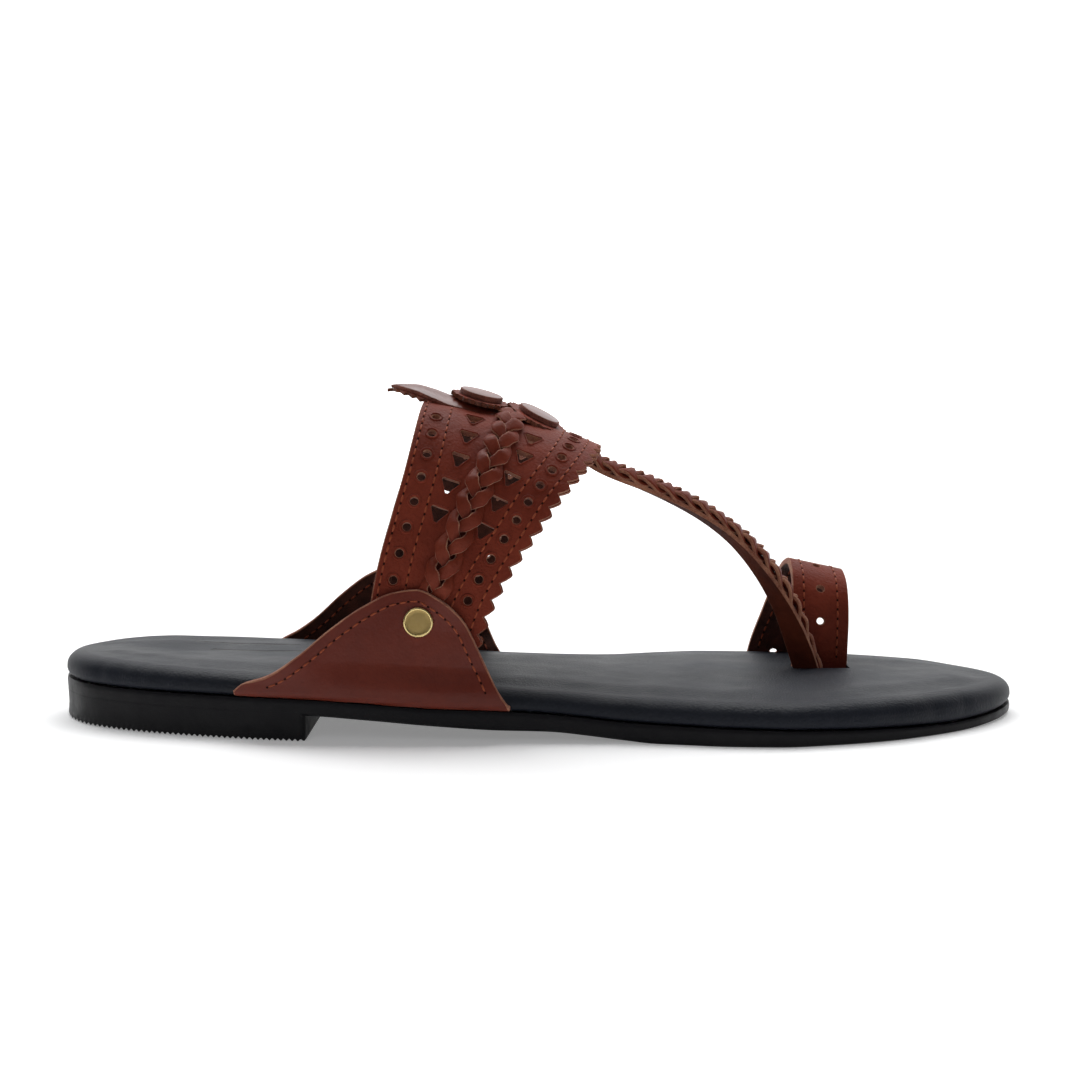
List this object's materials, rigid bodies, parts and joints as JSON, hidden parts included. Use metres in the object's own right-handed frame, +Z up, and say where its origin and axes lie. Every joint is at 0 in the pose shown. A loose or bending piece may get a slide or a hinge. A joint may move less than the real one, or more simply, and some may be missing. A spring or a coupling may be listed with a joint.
{
  "type": "kolhapuri sandal",
  "caption": "Flat leather toe-loop sandal with a punched and plaited instep band, thong strap, riveted side flaps, padded insole and low-heeled rubber sole.",
  "frame": {"origin": "on the floor under the middle of the sandal's box", "axes": "+X from heel to toe, +Y towards the big-toe side, +Z up"},
  "size_m": [0.2538, 0.0886, 0.0882],
  "materials": {
    "sole_rubber": "smooth matt moulded rubber, black",
    "insole_leather": "fine-grained leather over foam, satin black",
    "upper_leather": "smooth full-grain leather, semi-gloss reddish brown",
    "plait_leather": "plaited thin leather strips, semi-gloss reddish brown",
    "rivet_brass": "satin brass"
  },
  "bodies": {
    "root": {"outsole": "sole_rubber", "insole": "insole_leather", "upper": "upper_leather", "flap_outer": "upper_leather", "flap_inner": "upper_leather", "rivet_outer": "rivet_brass", "rivet_inner": "rivet_brass", "band_plait": "plait_leather", "thong_plait": "plait_leather", "leaf_top": "upper_leather", "leaf_pinked": "upper_leather", "medallion_rear_pinked": "upper_leather", "medallion_rear_cap": "upper_leather", "medallion_front_pinked": "upper_leather", "medallion_front_cap": "upper_leather"}
  },
  "joints": []
}
